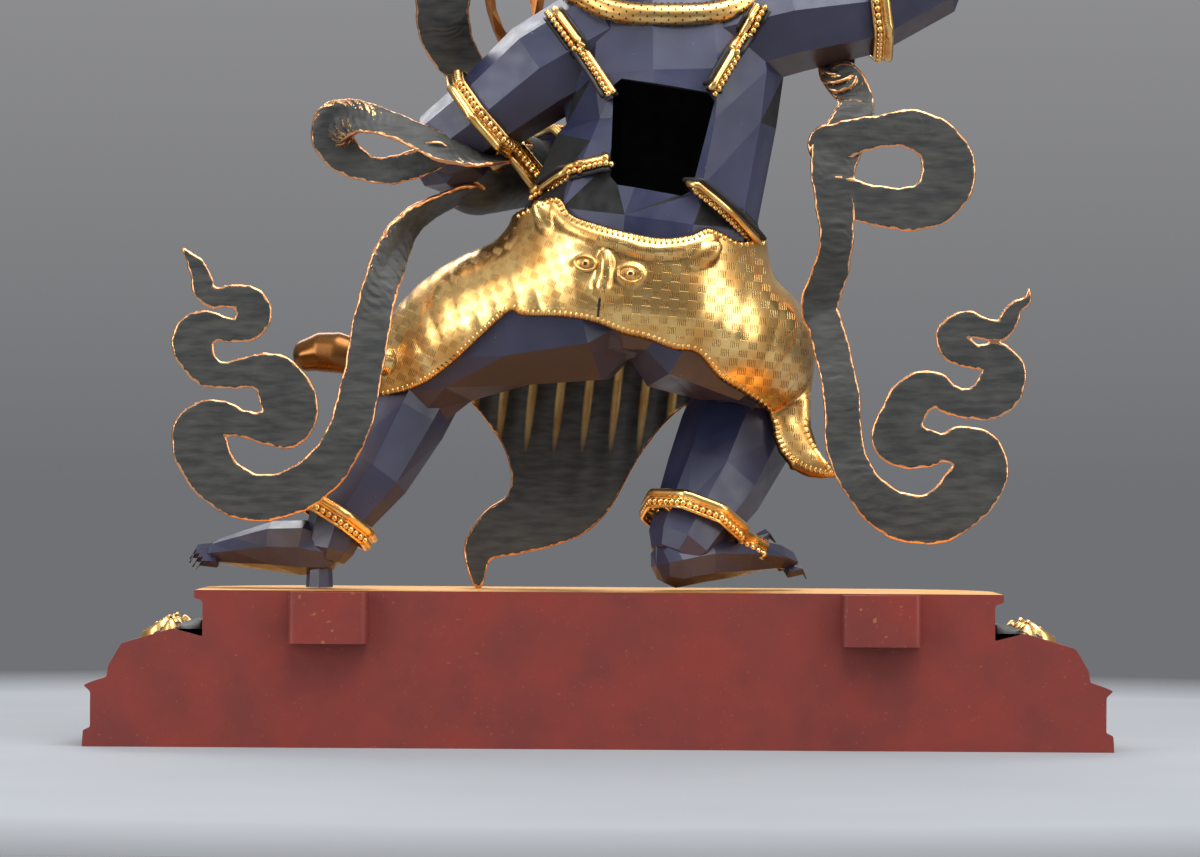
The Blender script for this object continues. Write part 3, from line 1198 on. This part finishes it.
def petal(index):
    """A black leaf with a gold rim, a rolled lip and a scroll standing proud on it."""
    margin = 2
    pitch = (WHOLE_RUN - 2 * margin) / PETALS
    middle = margin + pitch * (index + 0.5)
    half = min(PETAL["half"], pitch / 2 - GAP)
    rows, columns = 40, 56
    vertices, proud = [], []
    for i in range(rows + 1):
        v = i / rows
        width = math.sin(math.pi * min(1, 0.2 + 0.62 * v)) ** 0.55 * (1 - 0.55 * max(0, v - 0.72) / 0.28 * 0.9)
        for j in range(columns + 1):
            u = 2 * j / columns - 1
            rim = max(abs(u), max(0, (v - 0.12) / 0.88) ** 3)
            edge = np.clip((rim - 0.8) / 0.12, 0, 1)
            curl = math.exp(-((math.hypot(u * 1.5, (v - 0.62) * 2.3) - 0.42) / 0.12) ** 2)
            knob = math.exp(-(math.hypot(u * 1.5, (v - 0.62) * 2.3) / 0.2) ** 2)
            wings = sum(math.exp(-((u - s * 0.52) ** 2 / 0.018 + (v - 0.42) ** 2 / 0.012)) for s in (-1, 1))
            relief_height = max(curl, knob, wings)
            lip = math.sin(math.pi * min(1, edge))
            height = 45.5 + 3.4 * (1 - u * u) + 5.2 * relief_height + 2.2 * edge - 15.5 * v * v - 3.5 * u * u
            out = PETAL["in"] + v * (PETAL["out"] - PETAL["in"])
            x, y = plan_point(middle + u * half * width, out)
            vertices.append([x, y, height])
            proud.append(max(relief_height * 1.4, edge))
    across = columns + 1
    faces = []
    for i in range(rows):
        for j in range(columns):
            a = i * across + j
            faces.append([a, a + across, a + across + 1, a + 1])
    count = len(vertices)
    rim = [j for j in range(across)] + [i * across + columns for i in range(1, rows + 1)]
    rim += [rows * across + j for j in range(columns - 1, -1, -1)] + [i * across for i in range(rows - 1, 0, -1)]
    low = []
    for k in rim:
        x, y, z = vertices[k]
        low.append([x, y, z - 7])
    vertices += low
    proud += [0] * len(low)
    for k in range(len(rim)):
        m = (k + 1) % len(rim)
        faces.append([rim[k], rim[m], count + m, count + k])
    faces.append([count + k for k in reversed(range(len(rim)))])
    pile = Pile()
    pile.add(vertices, faces, proud=proud)
    name = f"petal_{index + 1}"
    return pile.piece(name, [petal_black], "gilt", [name])


for index in range(PETALS):
    petal(index)


# Plain looks for the parts shown as they are
for name, material in (("hair", flame_red), ("crown", gilt), ("vajra", gilt), ("noose", rope_gilt)):
    show_node(name, material)


# Floor, light and camera

CAMERA = {"at": [0, 2069.9, 102.3], "pitch": 0.64, "roll": 0.36, "lens": 154.5}
FLOOR = {"radius": 900, "fade": [520, 800], "tone": srgb(150, 154, 158)}


def studio():
    mesh = bpy.data.meshes.new("floor")
    angles = np.linspace(0, 2 * np.pi, 97)[:-1]
    radius = FLOOR["radius"] * MM
    mesh.from_pydata([[radius * math.cos(a), radius * math.sin(a), 0] for a in angles], [], [list(range(96))])
    floor = bpy.data.objects.new("floor", mesh)
    bpy.context.scene.collection.objects.link(floor)
    look = Look("floor_paint", Roughness=0.75)
    colour = look.mix(look.noise(120, 3), FLOOR["tone"], srgb(140, 144, 150))
    length = look.nodes.new("ShaderNodeVectorMath")
    length.operation = "LENGTH"
    look.links.new(look.place, length.inputs[0])
    fade = [value * MM for value in FLOOR["fade"]]
    look.use(Base_Color=colour, Alpha=look.ramp(length.outputs["Value"], fade[0], fade[1], 1, 0))
    mesh.materials.append(look.material)

    world = bpy.data.worlds.new("studio")
    bpy.context.scene.world = world
    world.use_nodes = True
    nodes, links = world.node_tree.nodes, world.node_tree.links
    split = nodes.new("ShaderNodeSeparateXYZ")
    links.new(nodes.new("ShaderNodeTexCoord").outputs["Generated"], split.inputs[0])
    ramp = nodes.new("ShaderNodeValToRGB")
    links.new(split.outputs["Z"], ramp.inputs["Fac"])
    stops = [(0.0, srgb(112, 113, 116)), (0.1, srgb(142, 142, 144)), (1.0, srgb(205, 206, 210))]
    ramp.color_ramp.elements[0].position, ramp.color_ramp.elements[1].position = stops[0][0], stops[-1][0]
    ramp.color_ramp.elements.new(stops[1][0])
    for element, (_, tone) in zip(ramp.color_ramp.elements, stops):
        element.color = (*tone, 1)
    links.new(ramp.outputs["Color"], nodes["Background"].inputs["Color"])

    for name, at, size, power in (
            ("top", (-300, 500, 1300), (1.3, 0.9), 22), ("left", (1100, 900, 500), (0.5, 1.2), 9),
            ("right", (-1200, 800, 450), (0.5, 1.2), 7), ("back", (200, -900, 900), (1.2, 0.5), 8)):
        light = bpy.data.lights.new(name, "AREA")
        light.shape, light.size, light.size_y, light.energy = "RECTANGLE", size[0], size[1], power
        lamp = bpy.data.objects.new(name, light)
        lamp.location = Vector(at) * MM
        aim = Vector((-10 * MM, 0, 200 * MM)) - lamp.location
        lamp.rotation_mode = "QUATERNION"
        lamp.rotation_quaternion = aim.to_track_quat("-Z", "Y")
        bpy.context.scene.collection.objects.link(lamp)


def camera():
    data = bpy.data.cameras.new("camera")
    data.lens, data.sensor_width = CAMERA["lens"], 36
    eye = bpy.data.objects.new("camera", data)
    eye.location = Vector(CAMERA["at"]) * MM
    pitch, roll = math.radians(CAMERA["pitch"]), math.radians(CAMERA["roll"])
    back = Vector((0, math.cos(pitch), -math.sin(pitch)))
    eye.rotation_mode = "QUATERNION"
    turn = (-back).to_track_quat("-Z", "Y")
    eye.rotation_quaternion = turn @ Quaternion((0, 0, 1), roll)
    data.clip_end = 20
    bpy.context.scene.collection.objects.link(eye)
    bpy.context.scene.camera = eye


studio()
camera()
bpy.context.scene.view_settings.view_transform = "Standard"
